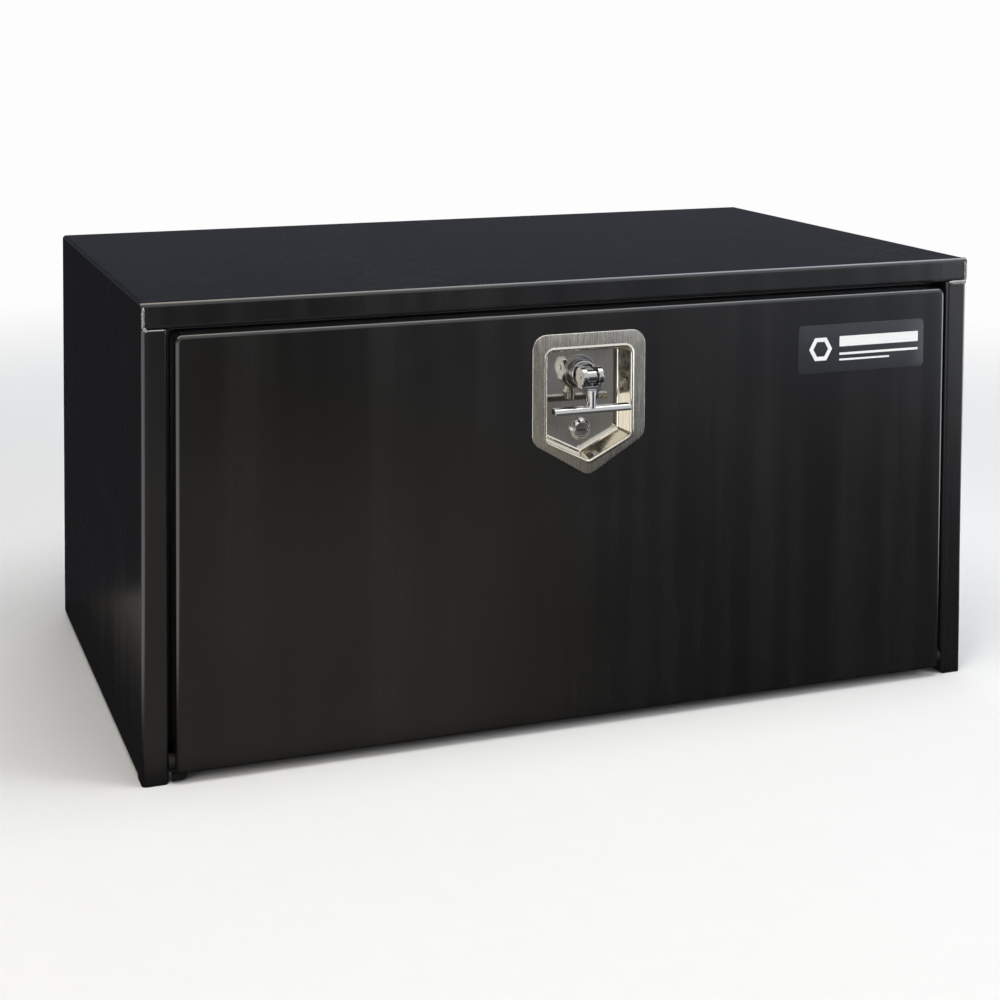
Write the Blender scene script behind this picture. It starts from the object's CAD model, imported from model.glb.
"""Looks for a steel underbody tool box: black powder coat, a pressed stainless latch dish with a cast
folding T-handle, a rippled weld at each header end, a bulb seal, and a plain plate on the door."""

import math

import bmesh
import bpy
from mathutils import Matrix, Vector, noise


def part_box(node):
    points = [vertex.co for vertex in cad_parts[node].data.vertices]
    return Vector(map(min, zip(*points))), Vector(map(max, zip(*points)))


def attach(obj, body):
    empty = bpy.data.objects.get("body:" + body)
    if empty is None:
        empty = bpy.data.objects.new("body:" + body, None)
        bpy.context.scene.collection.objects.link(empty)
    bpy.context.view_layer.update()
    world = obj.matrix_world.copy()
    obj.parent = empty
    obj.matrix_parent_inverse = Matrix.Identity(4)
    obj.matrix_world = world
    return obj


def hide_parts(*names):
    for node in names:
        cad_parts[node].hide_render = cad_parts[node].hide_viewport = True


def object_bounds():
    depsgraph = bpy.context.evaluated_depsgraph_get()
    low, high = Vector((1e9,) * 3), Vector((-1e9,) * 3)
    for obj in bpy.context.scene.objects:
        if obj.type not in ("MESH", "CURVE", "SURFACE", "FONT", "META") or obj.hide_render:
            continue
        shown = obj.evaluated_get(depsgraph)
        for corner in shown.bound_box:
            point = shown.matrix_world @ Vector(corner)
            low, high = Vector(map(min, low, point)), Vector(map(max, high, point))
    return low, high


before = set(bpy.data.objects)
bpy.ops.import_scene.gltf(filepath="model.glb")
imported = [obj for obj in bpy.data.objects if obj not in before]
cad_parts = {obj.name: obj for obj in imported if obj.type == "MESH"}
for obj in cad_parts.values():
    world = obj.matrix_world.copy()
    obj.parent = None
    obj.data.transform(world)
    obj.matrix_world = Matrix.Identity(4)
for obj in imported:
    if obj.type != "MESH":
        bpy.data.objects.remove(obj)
CAD_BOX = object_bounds()
MM = 0.001


# ---- places read from the frame ---------------------------------------------


def centre_of(node):
    lo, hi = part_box(node)
    return (lo + hi) / 2


HUB_Z = centre_of("bushing_nut").z
LOCK_Z = centre_of("lock_nut").z
DISH_LO, DISH_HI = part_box("latch_dish")
DISH_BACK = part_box("dish_gasket")[0].y
WELL_REAR = DISH_HI.y
SHEET = DISH_BACK - DISH_LO.y
FRONT_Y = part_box("top_panel")[0].y
FLOOR_Z = CAD_BOX[0].z


# ---- node helpers -----------------------------------------------------------


def add(tree, kind, inputs=None, **settings):
    """A shader node with its settings made and its inputs set or linked."""
    made = tree.nodes.new("ShaderNode" + kind)
    for key, value in settings.items():
        setattr(made, key, value)
    for key, value in (inputs or {}).items():
        if isinstance(value, bpy.types.NodeSocket):
            tree.links.new(value, made.inputs[key])
        else:
            made.inputs[key].default_value = value
    return made


def maths(tree, operation, *values, clamp=False):
    inputs = dict(enumerate(values))
    return add(tree, "Math", inputs, operation=operation, use_clamp=clamp).outputs[0]


def remap(tree, value, low, high, to_low=0.0, to_high=1.0):
    """value, smoothly taken from the range low to high to the range to_low to to_high."""
    inputs = {"Value": value, "From Min": low, "From Max": high, "To Min": to_low, "To Max": to_high}
    return add(tree, "MapRange", inputs, interpolation_type="SMOOTHSTEP").outputs["Result"]


def blend_colour(tree, factor, a, b):
    mix = add(tree, "Mix", data_type="RGBA")
    for socket, value in ((0, factor), (6, a), (7, b)):
        if isinstance(value, bpy.types.NodeSocket):
            tree.links.new(value, mix.inputs[socket])
        else:
            mix.inputs[socket].default_value = value if socket == 0 else (*value, 1.0)
    return mix.outputs[2]


def stretched(tree, sx, sy, sz):
    """Object coordinates in metres, scaled apart along the axes."""
    here = add(tree, "TexCoord").outputs["Object"]
    return add(tree, "Mapping", {"Vector": here, "Scale": (sx, sy, sz)}).outputs["Vector"]


def speckle(tree, vector, scale, detail=2.0, roughness=0.5):
    inputs = {"Vector": vector, "Scale": scale, "Detail": detail, "Roughness": roughness}
    return add(tree, "TexNoise", inputs).outputs["Fac"]


def bump(tree, height, distance, normal=None):
    inputs = {"Height": height, "Distance": distance, "Strength": 1.0}
    if normal is not None:
        inputs["Normal"] = normal
    return add(tree, "Bump", inputs).outputs["Normal"]


def shade(colour, share):
    """The same colour, darker for a share under 1 and lighter over it."""
    return tuple(share * part for part in colour)


def new_material(name):
    """An empty material with its output node, and the tree to build in."""
    material = bpy.data.materials.new(name)
    material.use_nodes = True
    tree = material.node_tree
    tree.nodes.clear()
    return material, tree, add(tree, "OutputMaterial")


def surface(tree, output, **inputs):
    """Principled surface; an input's name is written with underscores."""
    shader = add(tree, "BsdfPrincipled", {key.replace("_", " "): v for key, v in inputs.items()})
    tree.links.new(shader.outputs[0], output.inputs["Surface"])


# ---- materials --------------------------------------------------------------


def powder_coat(name, dark, light, ior=1.5):
    """Black powder coat: fine orange peel, faint upright streaks and slow waves in the sheet."""
    material, tree, output = new_material(name)
    even = stretched(tree, 1, 1, 1)
    cloud = speckle(tree, even, 4.0, 3.0)
    streak = speckle(tree, stretched(tree, 45, 45, 1.6), 1.0, 4.0)
    peel, peel_depth = speckle(tree, even, 900.0), 0.0016 * MM
    wave, wave_depth = speckle(tree, even, 7.0, 0.0), 0.12 * MM
    tone = maths(tree, "ADD", maths(tree, "MULTIPLY", cloud, 0.5), maths(tree, "MULTIPLY", streak, 0.5))
    colour = blend_colour(tree, remap(tree, tone, 0.35, 0.65), dark, light)
    rough = maths(tree, "ADD", remap(tree, streak, 0.3, 0.7, 0.17, 0.25),
                  remap(tree, cloud, 0.3, 0.7, 0.0, 0.06))
    normal = bump(tree, peel, peel_depth, bump(tree, wave, wave_depth))
    surface(tree, output, Base_Color=colour, Roughness=rough, IOR=ior, Normal=normal,
            Coat_Weight=0.25, Coat_Roughness=0.12)
    return material


def brushed_steel(name, colour, roughness, grain, depth, polished_behind=None):
    """Bare stainless, brushed along one axis by stretching the grain, and polished behind a given y."""
    material, tree, output = new_material(name)
    lines = speckle(tree, stretched(tree, *grain), 1.0, 3.0, 0.65)
    cloud = speckle(tree, stretched(tree, 1, 1, 1), 60.0, 2.0)
    worn = shade(colour, 0.82)
    tint = blend_colour(tree, remap(tree, lines, 0.3, 0.7), worn, colour)
    rough = maths(tree, "ADD", remap(tree, lines, 0.25, 0.75, roughness, roughness + 0.12),
                  remap(tree, cloud, 0.3, 0.7, 0.0, 0.05))
    if polished_behind is not None:
        fade = 2 * MM
        y = add(tree, "SeparateXYZ", {0: stretched(tree, 1, 1, 1)}).outputs["Y"]
        brushed = remap(tree, y, polished_behind + fade, polished_behind)
        lines = maths(tree, "MULTIPLY", lines, remap(tree, brushed, 0, 1, 0.25, 1))
        rough = maths(tree, "MULTIPLY", rough, remap(tree, brushed, 0, 1, 0.35, 1))
    surface(tree, output, Base_Color=tint, Metallic=1.0, Roughness=rough, Normal=bump(tree, lines, depth))
    return material


def cast_steel(name, colour):
    """Polished casting: soft ripples left by the polishing wheel and a few darker pits."""
    material, tree, output = new_material(name)
    ripple_depth, pit_depth = 0.026 * MM, 0.006 * MM
    even = stretched(tree, 1, 1, 1)
    ripple = speckle(tree, even, 260.0, 2.0)
    pits = remap(tree, speckle(tree, even, 1400.0, 2.0), 0.62, 0.72)
    tint = blend_colour(tree, pits, colour, shade(colour, 0.45))
    rough = maths(tree, "ADD", remap(tree, ripple, 0.3, 0.7, 0.12, 0.20), maths(tree, "MULTIPLY", pits, 0.15))
    normal = bump(tree, ripple, ripple_depth, bump(tree, pits, -pit_depth))
    surface(tree, output, Base_Color=tint, Metallic=1.0, Roughness=rough, Normal=normal)
    return material


def zinc_plate(name, colour):
    """Bright zinc plating with a cloudy, slightly blue and yellow passivation."""
    material, tree, output = new_material(name)
    even = stretched(tree, 1, 1, 1)
    cloud = speckle(tree, even, 45.0, 4.0, 0.6)
    grain = speckle(tree, even, 1600.0, 2.0)
    red, green, blue = colour
    warm = (red * 1.05, green, blue * 0.84)
    cool = (red * 0.86, green * 0.95, blue * 1.05)
    tint = blend_colour(tree, remap(tree, cloud, 0.38, 0.62), warm, cool)
    rough = remap(tree, cloud, 0.3, 0.7, 0.26, 0.42)
    surface(tree, output, Base_Color=tint, Metallic=1.0, Roughness=rough, Normal=bump(tree, grain, 0.02 * MM))
    return material


def rubber(name, colour, roughness, grain_scale):
    """Soft black rubber or nylon with a fine moulded grain and a dusty bloom."""
    material, tree, output = new_material(name)
    even = stretched(tree, 1, 1, 1)
    bloom = speckle(tree, even, 25.0, 3.0)
    grain = speckle(tree, even, grain_scale, 2.0)
    tint = blend_colour(tree, remap(tree, bloom, 0.35, 0.65), colour, shade(colour, 1.8))
    rough = remap(tree, bloom, 0.3, 0.7, roughness - 0.06, roughness + 0.06)
    surface(tree, output, Base_Color=tint, Roughness=rough, Normal=bump(tree, grain, 0.03 * MM))
    return material


def printed(name, colour, roughness):
    """Printed film with a little unevenness in its ink."""
    material, tree, output = new_material(name)
    ink = speckle(tree, stretched(tree, 1, 1, 1), 700.0, 3.0)
    tint = blend_colour(tree, remap(tree, ink, 0.35, 0.65), shade(colour, 0.93), colour)
    surface(tree, output, Base_Color=tint, Roughness=remap(tree, ink, 0.3, 0.7, roughness, roughness + 0.1),
            Normal=bump(tree, ink, 0.0015 * MM))
    return material


BODY_BLACKS = (0.0050, 0.0051, 0.0056), (0.0080, 0.0080, 0.0086)
SHEET_BRUSHING = {"roughness": 0.17, "grain": (1500, 300, 45), "depth": 0.0022 * MM}
POLISH_START = DISH_LO.y + 1.5 * MM
FINISH = {
    "body_paint": powder_coat("body_paint_look", *BODY_BLACKS),
    "door_paint": powder_coat("door_paint_look", (0.0052, 0.0050, 0.0048), (0.0086, 0.0082, 0.0078)),
    "stainless": brushed_steel("stainless_look", (0.52, 0.50, 0.46), **SHEET_BRUSHING),
    "cast_stainless": cast_steel("cast_stainless_look", (0.36, 0.36, 0.36)),
    "zinc_steel": zinc_plate("zinc_steel_look", (0.60, 0.61, 0.62)),
    "seal_rubber": rubber("seal_rubber_look", (0.012, 0.012, 0.013), 0.62, 1800.0),
    "nylon": rubber("nylon_look", (0.003, 0.003, 0.003), 0.80, 900.0),
    "plate": printed("plate_look", (0.019, 0.021, 0.026), 0.30),
}
DISH_STEEL = brushed_steel("dish_steel_look", (0.68, 0.645, 0.57), polished_behind=POLISH_START,
                           **SHEET_BRUSHING)
WELD_PAINT = powder_coat("weld_paint_look", *BODY_BLACKS, ior=3.0)
PLUG_FACE = brushed_steel("plug_face_look", (0.24, 0.23, 0.215), 0.30, (400, 400, 400), 0.01 * MM)
PRINT = printed("print_look", (0.88, 0.88, 0.88), 0.45)


def paint_cad_nodes():
    """Every CAD node takes the finish of its slot in the record."""
    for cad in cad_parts.values():
        for slot in cad.material_slots:
            slot.material = FINISH[slot.material.name.split(".")[0]]
    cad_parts["lock_plug"].material_slots[0].material = PLUG_FACE


# ---- mesh helpers -----------------------------------------------------------

SAME_POINT = 0.001 * MM


def rounded_outline(corners, radii, arc_steps=12, straight_steps=8):
    """Points round a convex outline, as many at any size: each corner's arc, then the straight after it."""
    points = []
    count = len(corners)
    for i, (corner, radius) in enumerate(zip(corners, radii)):
        corner = Vector(corner)
        back = (Vector(corners[i - 1]) - corner).normalized()
        ahead = (Vector(corners[(i + 1) % count]) - corner).normalized()
        half = back.angle(ahead) / 2
        middle = corner + (back + ahead).normalized() * radius / math.sin(half)
        start = corner + back * radius / math.tan(half) - middle
        end = corner + ahead * radius / math.tan(half) - middle
        sweep = start.angle_signed(end)
        for k in range(arc_steps + 1):
            turn = -sweep * k / arc_steps
            spun = Vector((start.x * math.cos(turn) - start.y * math.sin(turn),
                           start.x * math.sin(turn) + start.y * math.cos(turn)))
            points.append(middle + spun)
        next_corner, next_radius = Vector(corners[(i + 1) % count]), radii[(i + 1) % count]
        after = (Vector(corners[(i + 2) % count]) - next_corner).normalized()
        next_half = (-ahead).angle(after) / 2
        leave = points[-1]
        arrive = next_corner - ahead * next_radius / math.tan(next_half)
        points += [leave.lerp(arrive, k / straight_steps) for k in range(1, straight_steps)]
    return points


def circle_points(radius, centre, steps):
    turns = [2 * math.pi * k / steps for k in range(steps)]
    return [Vector((centre[0] + radius * math.cos(t), centre[1] + radius * math.sin(t))) for t in turns]


def arc(centre, radius, start_degrees, end_degrees, steps):
    sweep = end_degrees - start_degrees
    turns = [math.radians(start_degrees + sweep * k / steps) for k in range(steps + 1)]
    return [(centre[0] + radius * math.cos(t), centre[1] + radius * math.sin(t)) for t in turns]


def ring(mesh, outline, y):
    """Vertices of an outline drawn in (x, z) at depth y."""
    return [mesh.verts.new((p.x, y, p.y)) for p in outline]


def skin(mesh, rings, closed=True):
    """Faces between rings that have the same count."""
    for a, b in zip(rings, rings[1:]):
        span = len(a) if closed else len(a) - 1
        for i in range(span):
            j = (i + 1) % len(a)
            mesh.faces.new((a[i], a[j], b[j], b[i]))


def loop_edges(mesh, loop):
    pairs = zip(loop, loop[1:] + loop[:1])
    return [mesh.edges.get(pair) or mesh.edges.new(pair) for pair in pairs]


def fill(mesh, loops):
    """Flat face inside the first loop, with the others left open."""
    edges = [edge for loop in loops for edge in loop_edges(mesh, loop)]
    bmesh.ops.triangle_fill(mesh, edges=edges, use_beauty=True, use_dissolve=False)


def loose_mesh(name, mesh):
    """Loose mesh data from a bmesh, with its faces turned outwards."""
    bmesh.ops.recalc_face_normals(mesh, faces=mesh.faces)
    data = bpy.data.meshes.new(name)
    mesh.to_mesh(data)
    mesh.free()
    return data


def finish_piece(name, mesh, material, body, nodes=(), sharp_degrees=40):
    """Turns a bmesh into a shown piece that rides on a body and stands for CAD nodes."""
    bmesh.ops.remove_doubles(mesh, verts=mesh.verts, dist=SAME_POINT)
    return place_piece(name, loose_mesh(name, mesh), material, body, nodes, sharp_degrees)


def place_piece(name, data, material, body, nodes, sharp_degrees):
    data.materials.clear()
    data.materials.append(material)
    data.shade_smooth()
    data.set_sharp_from_angle(angle=math.radians(sharp_degrees))
    piece = bpy.data.objects.new(name, data)
    bpy.context.scene.collection.objects.link(piece)
    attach(piece, body)
    if nodes:
        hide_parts(*nodes)
    return piece


# ---- latch dish -------------------------------------------------------------

# Outline corners from the hub's axis: half width, top, shoulder and tip, with the corner radii
DISH_SHAPE = (DISH_HI.x, DISH_HI.z - HUB_Z, -64.5 * MM, -101.3 * MM, (15 * MM, 14 * MM, 12 * MM))
WELL_SHAPE = (46.25 * MM, 27 * MM, -63 * MM, -85.6 * MM, (7 * MM, 6 * MM, 6 * MM))
WELL_DRAFT = 2.6 * MM
DRAFT_DEGREES = 7
LEAST_RADIUS = 0.5 * MM
LIP_RADIUS = 0.5 * MM
MOUTH_RADIUS = 1.9 * MM
BEAD_WIDTH = 2.4 * MM
BEAD_RISE = 0.55 * MM
FLOOR_RADIUS = 3.0 * MM
REAR_BEVEL = 1.0 * MM
HUB_HOLE = 15.7 * MM
LOCK_HOLE = 9.6 * MM


def latch_outline(shape, grow):
    """The five-sided latch outline, moved outwards by grow."""
    half, top, shoulder, tip, (r_top, r_side, r_tip) = shape
    slope = math.atan2(shoulder - tip, half)
    low = HUB_Z + shoulder - grow * math.tan(math.pi / 4 - slope / 2)
    foot = HUB_Z + tip - grow / math.cos(slope)
    wide, high = half + grow, HUB_Z + top + grow
    corners = [(-wide, high), (-wide, low), (0, foot), (wide, low), (wide, high)]
    radii = [max(radius + grow, LEAST_RADIUS) for radius in (r_top, r_side, r_tip, r_side, r_top)]
    return rounded_outline(corners, radii)


def dish_section():
    """Front of the pressing from the outer lip to the edge of the flat floor, as (outline, grow, y)."""
    front, floor = DISH_LO.y, WELL_REAR - SHEET
    flat = front + BEAD_RISE
    lip = [(DISH_SHAPE, -LIP_RADIUS - c, flat + LIP_RADIUS + s)
           for c, s in arc((0, 0), LIP_RADIUS, 180, 270, 6)]
    bead, bead_steps = [], 10
    for k in range(bead_steps + 1):
        share = k / bead_steps
        rise = BEAD_RISE * (1 - math.cos(math.pi * share)) / 2
        bead.append((WELL_SHAPE, MOUTH_RADIUS + BEAD_WIDTH * (1 - share), flat - rise))
    mouth = [(WELL_SHAPE, c, front + MOUTH_RADIUS + s)
             for c, s in arc((MOUTH_RADIUS, 0), MOUTH_RADIUS, 270, 180 + DRAFT_DEGREES, 10)][1:]
    bottom = [(WELL_SHAPE, c, floor - FLOOR_RADIUS + s)
              for c, s in arc((-WELL_DRAFT - FLOOR_RADIUS, 0), FLOOR_RADIUS, DRAFT_DEGREES, 90, 8)]
    return lip + bead + mouth + bottom


def dish_pressing():
    """Pressed dish: rolled lip, brushed flange, drafted walls and a floor bored for hub and lock."""
    mesh = bmesh.new()
    section = dish_section()
    front = [ring(mesh, latch_outline(shape, grow), y) for shape, grow, y in section]
    behind = [(DISH_SHAPE, 0.0, DISH_BACK), (WELL_SHAPE, SHEET + REAR_BEVEL, DISH_BACK),
              (WELL_SHAPE, SHEET, DISH_BACK + REAR_BEVEL),
              (WELL_SHAPE, SHEET - WELL_DRAFT, WELL_REAR - FLOOR_RADIUS),
              (WELL_SHAPE, -WELL_DRAFT - FLOOR_RADIUS, WELL_REAR)]
    back = [ring(mesh, latch_outline(shape, grow), y) for shape, grow, y in behind]
    skin(mesh, front)
    skin(mesh, back)
    skin(mesh, [front[0], back[0]])
    bores = []
    for y, edge in ((WELL_REAR - SHEET, front[-1]), (WELL_REAR, back[-1])):
        holes = [ring(mesh, circle_points(HUB_HOLE, (0, HUB_Z), 48), y),
                 ring(mesh, circle_points(LOCK_HOLE, (0, LOCK_Z), 32), y)]
        fill(mesh, [edge] + holes)
        bores.append(holes)
    for first, second in zip(*bores):
        skin(mesh, [first, second])
    finish_piece("latch_dish_pressing", mesh, DISH_STEEL, "door", ["latch_dish"], 50)


# ---- turned and cast latch parts --------------------------------------------


def turned(name, profile, axis_z, node, steps=96):
    """A turned part of the door, its axis along y. The profile is (radius, y) from the rear of the bore
    round the front to the rear of the outside."""
    mesh = bmesh.new()
    rings = [ring(mesh, circle_points(radius, (0, axis_z), steps), y) for radius, y in profile]
    skin(mesh, rings)
    skin(mesh, [rings[-1], rings[0]])
    finish_piece(name, mesh, FINISH["cast_stainless"], "door", [node])


def lock_collar():
    """Lock barrel with a sloping, rounded collar round the plug."""
    lo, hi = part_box("lock_housing")
    floor = WELL_REAR - SHEET
    bore, nose, foot, barrel = 5.85 * MM, 8.2 * MM, 11.5 * MM, 9.5 * MM
    edge, mouth, toe, toe_rise = 0.9 * MM, 0.4 * MM, 0.5 * MM, 1.1 * MM
    profile = [(bore, hi.y), (bore, lo.y + mouth)]
    profile += arc((bore + mouth, lo.y + mouth), mouth, 180, 270, 4)
    profile += arc((nose - edge, lo.y + edge), edge, 270, 325, 6)
    profile += [(foot - toe, floor - toe_rise - toe)]
    profile += arc((foot - toe, floor - toe_rise), toe, 300, 360, 4)
    profile += [(foot, floor), (barrel, floor), (barrel, hi.y)]
    turned("lock_collar", profile, LOCK_Z, "lock_housing")


def hub_ring():
    """Flanged sleeve round the hub, with a rolled front edge."""
    lo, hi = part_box("hub_bushing")
    bore, flange, sleeve = 14.08 * MM, (hi.x - lo.x) / 2, 15.6 * MM
    floor = WELL_REAR - SHEET
    roll = (floor - lo.y) / 2
    bevel = 0.3 * MM
    profile = [(bore, hi.y), (bore, lo.y + bevel), (bore + bevel, lo.y)]
    profile += arc((flange - roll, lo.y + roll), roll, 270, 360, 8)
    profile += [(flange, floor), (sleeve, floor), (sleeve, hi.y)]
    turned("hub_ring", profile, HUB_Z, "hub_bushing")


def prism(mesh, outline, axis, start, end):
    """A closed solid: an outline drawn across one axis, carried along it from start to end."""
    loops = []
    for depth in (start, end):
        places = [list(point) for point in outline]
        for place in places:
            place.insert(axis, depth)
        loops.append([mesh.verts.new(place) for place in places])
    skin(mesh, loops)
    mesh.faces.new(loops[0])
    mesh.faces.new(loops[1])


def t_handle_form():
    """Fork, yoke, oval stem, cross bar with a sloping front, and concave roots between stem and bar."""
    lo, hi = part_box("t_handle")
    pin_lo, pin_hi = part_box("pivot_pin")
    pin_y = (pin_lo.y + pin_hi.y) / 2
    fork_in, fork_out = 6.2 * MM, pin_hi.x - 0.6 * MM
    yoke_top, yoke_wide, yoke_foot = (HUB_Z - drop * MM for drop in (9.5, 12, 19))
    cheek_foot = HUB_Z - 11 * MM
    stem_half, stem_front, stem_back = 4.65 * MM, lo.y + 1.0 * MM, pin_y + 5.0 * MM
    stem_head, yoke_front = HUB_Z - 13 * MM, pin_y - 4.5 * MM
    stem_foot = lo.z + 2.0 * MM
    bar_top, bar_back, bar_edge = lo.z + 5.8 * MM, DISH_LO.y - 0.35 * MM, lo.z + 2.4 * MM
    slope_top, slope_turn, turn_drop = lo.y + 2.9 * MM, lo.y + 1.7 * MM, 0.9 * MM
    disc_steps, oval_steps = 48, 40
    mesh = bmesh.new()
    disc = circle_points(hi.z - HUB_Z, (pin_y, HUB_Z), disc_steps)
    for side in (-1, 1):
        prism(mesh, disc, 0, side * fork_in, side * fork_out)
    yoke = [(-fork_out, yoke_top), (-fork_out, yoke_wide), (-stem_half, yoke_foot),
            (stem_half, yoke_foot), (fork_out, yoke_wide), (fork_out, yoke_top)]
    prism(mesh, yoke, 1, yoke_front, stem_back)
    for side in (-1, 1):
        cheek = [(yoke_front, HUB_Z), (yoke_front, cheek_foot), (stem_back, cheek_foot), (stem_back, HUB_Z)]
        prism(mesh, cheek, 0, side * fork_in, side * fork_out)
    middle_y, deep = (stem_front + stem_back) / 2, (stem_back - stem_front) / 2
    oval = [(stem_half * math.cos(t), middle_y + deep * math.sin(t))
            for t in (2 * math.pi * k / oval_steps for k in range(oval_steps))]
    prism(mesh, oval, 2, stem_foot, stem_head)
    bar = [(lo.y, lo.z), (bar_back, lo.z), (bar_back, bar_top), (slope_top, bar_top),
           (slope_turn, bar_top - turn_drop), (lo.y, bar_edge)]
    prism(mesh, bar, 0, lo.x, hi.x)
    reach, root_x, root_z = 6.0 * MM, stem_half - 1.5 * MM, bar_top - 1 * MM
    root_front, root_back = middle_y - 2.6 * MM, bar_back - 0.4 * MM
    for side in (-1, 1):
        curve = arc((stem_half + reach, root_z + reach), reach, 270, 180, 12)
        root = [(root_x, root_z)] + curve + [(root_x, root_z + reach)]
        root = [(side * x, z) for x, z in root]
        prism(mesh, root, 1, root_front, root_back)
    return loose_mesh("t_handle_form", mesh)


def cast(name, data, node, body, voxel, rounds):
    """A casting: the form's surface rebuilt finely as one skin, then its corners and roots rounded."""
    shape = bpy.data.objects.new(name + "_form", data)
    bpy.context.scene.collection.objects.link(shape)
    remesh = shape.modifiers.new("skin", "REMESH")
    remesh.mode = "VOXEL"
    remesh.voxel_size = voxel
    smooth = shape.modifiers.new("rounding", "SMOOTH")
    smooth.factor = 0.5
    smooth.iterations = rounds
    bpy.context.view_layer.update()
    made = bpy.data.meshes.new_from_object(shape.evaluated_get(bpy.context.evaluated_depsgraph_get()))
    made.name = name
    bpy.data.objects.remove(shape)
    place_piece(name, made, FINISH["cast_stainless"], body, [node], 70)


# ---- welds, seal and plate ---------------------------------------------------


def wobble(along, seed):
    """Smooth noise between -1 and 1 on each axis, the same in every run."""
    return Vector([noise.noise(Vector((along, seed, 1.7 * axis))) for axis in range(3)])


def weld_bead(mesh, start, end, radius, seed):
    """A bead of overlapping ripples laid from start to end."""
    start, end = Vector(start), Vector(end)
    along = (end - start).normalized()
    side = along.orthogonal().normalized()
    other = along.cross(side)
    length = (end - start).length
    ripple_pitch, ripple_height, ring_pitch, around = 1.5 * MM, 0.16, 0.18 * MM, 24
    drift, drift_rate, lumps, core = 0.25 * MM, 300, 0.10, 0.02 * MM
    steps = max(16, int(length / ring_pitch))
    rings = []
    for k in range(steps + 1):
        share = k / steps
        place = start.lerp(end, share)
        phase = (share * length / ripple_pitch) % 1.0
        crest = 1 - ripple_height + ripple_height * math.sqrt(max(0.0, 1 - (2 * phase - 1) ** 2))
        cap = math.sqrt(max(0.0, 1 - (2 * share - 1) ** 8))
        wander = wobble(share * length * drift_rate, seed) * drift
        rings.append([])
        for j in range(around):
            turn = 2 * math.pi * j / around
            rough = 1 + lumps * noise.noise(Vector((k * 0.22, 2 * math.cos(turn) + seed, 2 * math.sin(turn))))
            reach = radius * crest * cap * rough + core
            outwards = side * math.cos(turn) + other * math.sin(turn)
            rings[-1].append(mesh.verts.new(place + wander + outwards * reach))
    skin(mesh, rings)
    mesh.faces.new(rings[0])
    mesh.faces.new(rings[-1])


def welds():
    """The bead in the groove under each header end, and the bead up the header's outer corner."""
    lo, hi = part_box("weld_beads")
    side_x, top_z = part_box("top_panel")[1].x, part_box("top_panel")[1].z
    groove_z = lo.z + 0.8 * MM
    inner, corner_x = hi.x - 22.2 * MM, side_x - 2.3 * MM
    skin_y = FRONT_Y + 0.4 * MM
    # Each run: start (x, z), end (x, z), radius, seed
    thin_groove = ((inner, groove_z), (hi.x - 5 * MM, groove_z), 1.0 * MM, 2.0)
    full_groove = ((inner, groove_z), (hi.x, groove_z + 0.4 * MM), 2.6 * MM, 4.0)
    toe = ((hi.x - 5.5 * MM, groove_z - 0.8 * MM), (corner_x, groove_z + 3 * MM), 1.8 * MM, 9.0)
    corner = ((corner_x, groove_z + 2 * MM), (corner_x, top_z - 4 * MM), 1.8 * MM, 6.0)
    for side, name, runs in ((-1, "left", (thin_groove, toe, corner)), (1, "right", (full_groove, corner))):
        mesh = bmesh.new()
        for (x0, z0), (x1, z1), radius, seed in runs:
            weld_bead(mesh, (side * x0, skin_y, z0), (side * x1, skin_y, z1), radius, seed)
        finish_piece("weld_bead_" + name, mesh, WELD_PAINT, "cabinet", ["weld_beads"], 80)


def seal_section():
    """Half-round bulb on a flat base, as (offset across, height)."""
    base, shoulder, bulb, ledge = 5.0 * MM, 1.4 * MM, 3.6 * MM, 0.5 * MM
    lo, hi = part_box("door_seal")
    height = hi.y - lo.y
    crown = arc((0, height - bulb), bulb, -35, 215, 18)
    right = [(base, 0), (base, shoulder * 0.7), (base - ledge, shoulder)]
    left = [(ledge - base, shoulder), (-base, shoulder * 0.7)]
    return [(-base, 0)] + right + crown + left


def bulb_seal():
    """Bulb seal swept round the back of the door's lip."""
    lo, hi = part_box("door_seal")
    width, corner = 10 * MM, 14 * MM
    x, z0, z1 = hi.x - width / 2, lo.z + width / 2, hi.z - width / 2
    mesh = bmesh.new()
    rings = []
    for offset, height in seal_section():
        corners = [(-x - offset, z1 + offset), (-x - offset, z0 - offset), (x + offset, z0 - offset),
                   (x + offset, z1 + offset)]
        outline = rounded_outline(corners, [corner + offset] * 4, arc_steps=16, straight_steps=40)
        rings.append(ring(mesh, outline, lo.y + height))
    skin(mesh, rings + [rings[0]])
    finish_piece("bulb_seal", mesh, FINISH["seal_rubber"], "door", ["door_seal"], 50)


def plain_plate():
    """Thin plate with rounded corners and a softened edge."""
    lo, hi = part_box("name_plate")
    radius, edge, turns = 5 * MM, 0.2 * MM, (0.4, 0.8, 1.2, math.pi / 2)
    mesh = bmesh.new()
    rings = []
    softened = [(edge - edge * math.cos(t), lo.y + edge - edge * math.sin(t)) for t in turns]
    for inset, y in [(0, hi.y), (0, lo.y + edge)] + softened:
        corners = [(lo.x + inset, hi.z - inset), (lo.x + inset, lo.z + inset), (hi.x - inset, lo.z + inset),
                   (hi.x - inset, hi.z - inset)]
        rings.append(ring(mesh, rounded_outline(corners, [radius - inset] * 4), y))
    skin(mesh, rings)
    mesh.faces.new(rings[0])
    mesh.faces.new(rings[-1])
    finish_piece("plain_plate", mesh, FINISH["plate"], "door", ["name_plate"], 60)


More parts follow.
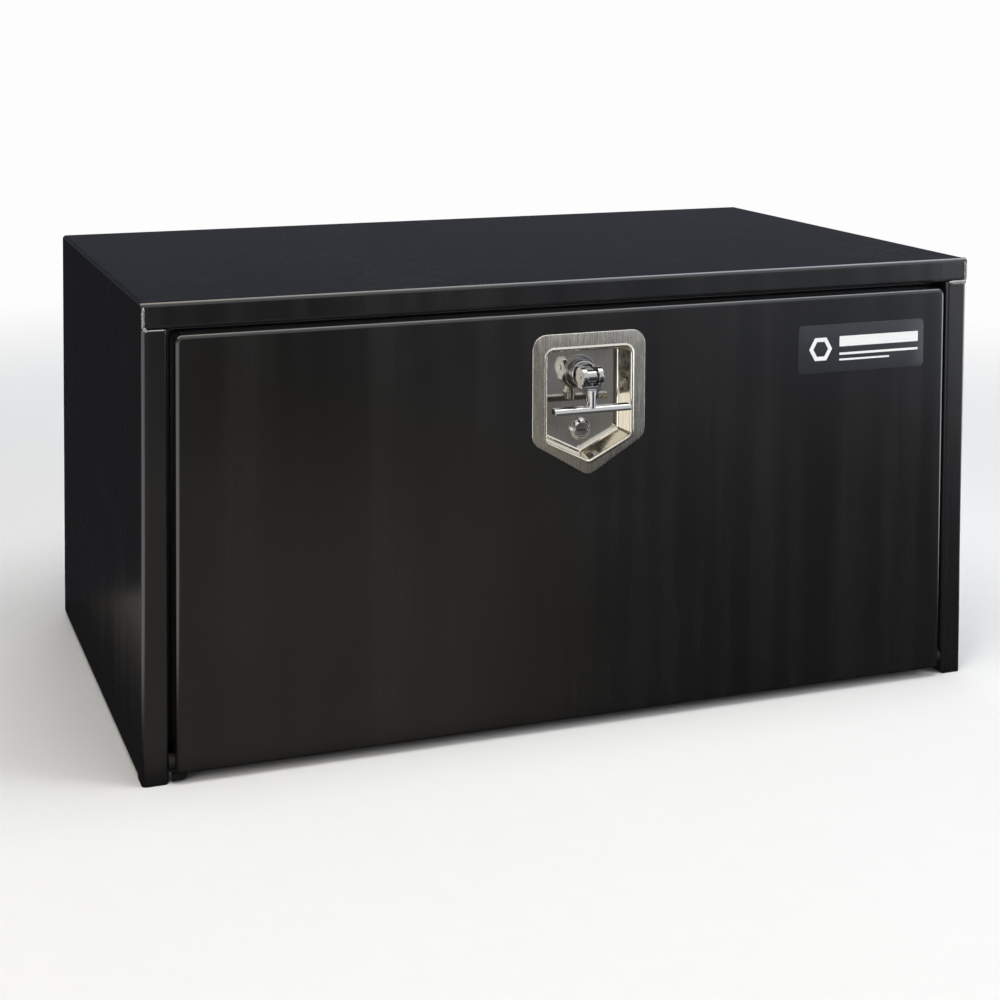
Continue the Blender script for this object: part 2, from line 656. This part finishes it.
def slab(mesh, outer, inner, front, back):
    """A thin raised shape between an outer and, if given, an inner outline."""
    loops = [outer] + ([inner] if inner else [])
    fronts = [ring(mesh, loop, front) for loop in loops]
    backs = [ring(mesh, loop, back) for loop in loops]
    for f, b in zip(fronts, backs):
        skin(mesh, [f, b])
    if inner:
        skin(mesh, fronts)
        skin(mesh, backs)
    else:
        mesh.faces.new(fronts[0])
        mesh.faces.new(backs[0])


def plate_marks():
    """Plain printed marks: a hexagon ring, one broad bar and two thin ones."""
    lo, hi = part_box("name_plate")
    back, front = lo.y + 0.02 * MM, lo.y - 0.03 * MM
    ring_out, ring_in, bar_corner = 14 * MM, 9 * MM, 0.6 * MM
    mesh = bmesh.new()
    middle = (lo.x + 27 * MM, (lo.z + hi.z) / 2)
    slab(mesh, circle_points(ring_out, middle, 6), circle_points(ring_in, middle, 6), front, back)
    # Left, right, low and high edge of each bar, in mm from the plate's lower left corner
    for left, right, low, high in ((50, 148, 27, 38), (50, 148, 18, 20.5), (50, 112, 12, 14)):
        x0, x1, z0, z1 = lo.x + left * MM, lo.x + right * MM, lo.z + low * MM, lo.z + high * MM
        corners = [(x0, z1), (x0, z0), (x1, z0), (x1, z1)]
        bar = rounded_outline(corners, [bar_corner] * 4, arc_steps=4, straight_steps=2)
        slab(mesh, bar, None, front, back)
    finish_piece("plate_marks", mesh, PRINT, "door")


# ---- studio -----------------------------------------------------------------

# PALE is what the camera sees, SKY_FILL gives soft light, and the rest are only seen in reflections
PALE = (0.985, 0.985, 0.985)
WARM_CARD = (0.31, 0.280, 0.235)
DIM_CARD = (0.050, 0.050, 0.052)
FAR_LEFT = (0.045, 0.042, 0.038)
FAR_RIGHT = (0.36, 0.38, 0.42)
LEFT_GLOW = (2.00, 2.00, 2.00)
RIGHT_GLOW = (3.20, 3.35, 3.60)
WALL_LEFT = (0.50, 0.47, 0.42)
WALL_RIGHT = (1.25, 1.28, 1.33)
BEHIND_LEFT = (0.022, 0.023, 0.027)
BEHIND = (0.16, 0.165, 0.18)
UNDER = (0.016, 0.016, 0.017)
CEILING_LEFT = (5.8, 5.3, 4.6)
CEILING_RIGHT = (4.9, 5.3, 5.9)
OVER_VIEWER = (1.4, 1.38, 1.34)
ROOM_HIGH = (0.030, 0.032, 0.040)
ROOM_LOW = (0.085, 0.092, 0.115)
SKY_FILL = (0.62, 0.64, 0.68)

# Where each patch of the reflected floor fades in, in metres
CARD_FADE = (-0.28, -0.04)
FAR_FADE = (-1.0, 0.5)
DEPTH_FADE = (-0.45, -2.2)
LEFT_GLOW_FADES = (-0.60, -0.85), (0.05, -0.25)
RIGHT_GLOW_FADE = (0.40, 0.80)
UNDER_FADE = (-0.30, -0.22)
SIDE_FADE = (0.62, 0.50)
BEHIND_SIDE_FADE = (-0.48, -0.30)
BEHIND_FADE = (0.24, 0.30)
WHITE_FADE = (0.9, 2.4)
FLOOR_HALF = 30.0

# Where the reflected room's parts fade in, as parts of a unit direction
ROOM_FADE = (0.30, 0.02)
WALL_SIDE_FADE = (-0.5, 0.5)
WALL_FADE = (0.1, -0.7)
CEILING_SIDE_FADE = (0.15, 0.55)
CEILING_FADES = (0.45, 0.72), (0.60, 0.25)
VIEWER_FADE = (-0.02, -0.52)


def seen_by(tree, camera, glossy, other):
    """Picks a shader by the ray that sees it: the camera, a reflection, or anything else."""
    path = add(tree, "LightPath")
    first = add(tree, "MixShader", {0: path.outputs["Is Glossy Ray"], 1: other, 2: glossy}).outputs[0]
    return add(tree, "MixShader", {0: path.outputs["Is Camera Ray"], 1: first, 2: camera}).outputs[0]


def floor_reflection(tree):
    """What the paint and steel see in the floor: a warm card front left, a dim patch, cool light far right,
    and a glow at each side that only the bends can see."""
    place = add(tree, "SeparateXYZ", {0: add(tree, "NewGeometry").outputs["Position"]})
    x, y = place.outputs["X"], place.outputs["Y"]

    def along(x_share, y_share):
        return maths(tree, "ADD", maths(tree, "MULTIPLY", x, x_share), maths(tree, "MULTIPLY", y, y_share))

    across = along(0.885, 0.466)
    near_colour = blend_colour(tree, remap(tree, across, *CARD_FADE), WARM_CARD, DIM_CARD)
    far_colour = blend_colour(tree, remap(tree, across, *FAR_FADE), FAR_LEFT, FAR_RIGHT)
    front = blend_colour(tree, remap(tree, y, *DEPTH_FADE), near_colour, far_colour)
    left = maths(tree, "MULTIPLY", remap(tree, along(1.0, 0.205), *LEFT_GLOW_FADES[0]),
                 remap(tree, y, *LEFT_GLOW_FADES[1]))
    beside_left = blend_colour(tree, left, front, LEFT_GLOW)
    beside = blend_colour(tree, remap(tree, along(1.0, 0.85), *RIGHT_GLOW_FADE), beside_left, RIGHT_GLOW)
    under = blend_colour(tree, remap(tree, y, *UNDER_FADE), front, UNDER)
    outer, inner = SIDE_FADE
    inside = maths(tree, "MULTIPLY", remap(tree, x, -outer, -inner), remap(tree, x, outer, inner))
    lit = blend_colour(tree, inside, beside, under)
    behind = blend_colour(tree, remap(tree, x, *BEHIND_SIDE_FADE), BEHIND_LEFT, BEHIND)
    return blend_colour(tree, remap(tree, y, *BEHIND_FADE), lit, behind)


def studio_floor():
    """Pale floor with a soft shadow, fading to white far out."""
    material, tree, output = new_material("studio_floor_look")
    place = add(tree, "NewGeometry").outputs["Position"]
    away = add(tree, "VectorMath", {0: place}, operation="LENGTH").outputs["Value"]
    tooth = speckle(tree, place, 40.0, 3.0)
    tone = blend_colour(tree, tooth, (0.68, 0.68, 0.68), (0.70, 0.70, 0.70))
    lit = add(tree, "BsdfDiffuse", {"Color": tone}).outputs[0]
    white = add(tree, "Emission", {"Color": (*PALE, 1.0), "Strength": 1.0}).outputs[0]
    shown = add(tree, "MixShader", {0: remap(tree, away, *WHITE_FADE), 1: lit, 2: white}).outputs[0]
    mirrored = add(tree, "Emission", {"Color": floor_reflection(tree), "Strength": 1.0}).outputs[0]
    tree.links.new(seen_by(tree, shown, mirrored, lit), output.inputs["Surface"])
    corners = [(sx * FLOOR_HALF, sy * FLOOR_HALF, FLOOR_Z) for sx, sy in ((-1, -1), (1, -1), (1, 1), (-1, 1))]
    data = bpy.data.meshes.new("studio_floor")
    data.from_pydata(corners, [], [(0, 1, 2, 3)])
    data.materials.append(material)
    floor = bpy.data.objects.new("studio_floor", data)
    bpy.context.scene.collection.objects.link(floor)


def studio_world():
    """White to the camera; in reflections a dim bluish room and a bright ceiling, dimmer over the viewer."""
    world = bpy.data.worlds.new("studio")
    world.use_nodes = True
    tree = world.node_tree
    tree.nodes.clear()
    output = add(tree, "OutputWorld")
    direction = add(tree, "SeparateXYZ", {0: add(tree, "TexCoord").outputs["Generated"]})
    x, y, z = (direction.outputs[axis] for axis in "XYZ")
    room = blend_colour(tree, remap(tree, z, *ROOM_FADE), ROOM_HIGH, ROOM_LOW)
    sides = blend_colour(tree, remap(tree, x, *WALL_SIDE_FADE), WALL_LEFT, WALL_RIGHT)
    walls = blend_colour(tree, remap(tree, y, *WALL_FADE), room, sides)
    ceiling = blend_colour(tree, remap(tree, x, *CEILING_SIDE_FADE), CEILING_LEFT, CEILING_RIGHT)
    up = maths(tree, "MULTIPLY", remap(tree, z, *CEILING_FADES[0]), remap(tree, y, *CEILING_FADES[1]))
    over_viewer = remap(tree, y, *VIEWER_FADE)
    lit = blend_colour(tree, over_viewer, ceiling, OVER_VIEWER)
    seen = blend_colour(tree, up, walls, lit)
    camera = add(tree, "Background", {"Color": (*PALE, 1.0), "Strength": 1.0}).outputs[0]
    glossy = add(tree, "Background", {"Color": seen, "Strength": 1.0}).outputs[0]
    other = add(tree, "Background", {"Color": (*SKY_FILL, 1.0), "Strength": 0.5}).outputs[0]
    tree.links.new(seen_by(tree, camera, glossy, other), output.inputs["Surface"])
    bpy.context.scene.world = world


def softbox(name, place, aim, width, height, power, colour):
    data = bpy.data.lights.new(name, "AREA")
    data.shape = "RECTANGLE"
    data.size, data.size_y = width, height
    data.energy = power
    data.color = colour
    light = bpy.data.objects.new(name, data)
    bpy.context.scene.collection.objects.link(light)
    light.visible_glossy = False
    light.location = place
    light.rotation_euler = (Vector(aim) - Vector(place)).to_track_quat("-Z", "Y").to_euler()


def lights():
    middle = (CAD_BOX[0] + CAD_BOX[1]) / 2
    softbox("overhead", (0.1, -0.5, 2.5), middle, 2.4, 1.2, 60, (1.0, 0.99, 0.97))
    softbox("warm_left", (-2.2, -1.9, 1.5), middle, 1.0, 1.6, 30, (1.0, 0.90, 0.76))
    softbox("cool_right", (2.3, -1.7, 1.6), middle, 1.0, 1.6, 34, (0.86, 0.93, 1.0))
    softbox("rear_fill", (0.6, 2.4, 1.8), middle, 1.6, 1.0, 18, (0.90, 0.95, 1.0))


# ---- camera -----------------------------------------------------------------

# Station round the cabinet's centre, in degrees and metres, and the near-level aim of a view camera with a
# shifted lens. The shift fades out over STATION_REACH from the station.
STATION_BEARING = 24.053
STATION_RISE = 15.288
STATION_DISTANCE = 1.9317
AIM_BEARING = 17.0162
AIM_RISE = -2.5
LENS = 58.7278
LENS_SHIFT = {"shift_x": 0.2059, "shift_y": -0.4291}
STATION_REACH = 0.01
CABINET_CENTRE = Vector((0, 0, (CAD_BOX[0].z + CAD_BOX[1].z) / 2))


def heading(bearing, rise):
    a, e = math.radians(bearing), math.radians(rise)
    return Vector((math.sin(a) * math.cos(e), math.cos(a) * math.cos(e), math.sin(e)))


def view_camera():
    """Camera whose lens shift holds only at its station, so that other views are centred."""
    data = bpy.data.cameras.new("camera")
    camera = bpy.data.objects.new("camera", data)
    station = bpy.data.objects.new("camera_station", None)
    for item in (camera, station):
        bpy.context.scene.collection.objects.link(item)
        item.location = CABINET_CENTRE - heading(STATION_BEARING, -STATION_RISE) * STATION_DISTANCE
    camera.rotation_euler = heading(AIM_BEARING, AIM_RISE).to_track_quat("-Z", "Y").to_euler()
    data.lens = LENS
    for path, shift in LENS_SHIFT.items():
        curve = data.driver_add(path)
        curve.driver.type = "SUM"
        distance = curve.driver.variables.new()
        distance.type = "LOC_DIFF"
        distance.targets[0].id = camera
        distance.targets[1].id = station
        curve.modifiers[0].coefficients = (shift, -shift / STATION_REACH)
        limits = curve.modifiers.new("LIMITS")
        limits.use_min_y = limits.use_max_y = True
        limits.min_y, limits.max_y = min(0, shift), max(0, shift)
    bpy.context.scene.camera = camera


# ---- build ------------------------------------------------------------------

bpy.context.scene.view_settings.view_transform = "Standard"
paint_cad_nodes()
dish_pressing()
lock_collar()
hub_ring()
hub_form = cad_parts["spindle"].data.copy()
cast("hub_casting", hub_form, "spindle", "latch_spindle", voxel=0.35 * MM, rounds=5)
cast("handle_casting", t_handle_form(), "t_handle", "handle", voxel=0.30 * MM, rounds=3)
welds()
bulb_seal()
plain_plate()
plate_marks()
studio_floor()
studio_world()
lights()
view_camera()
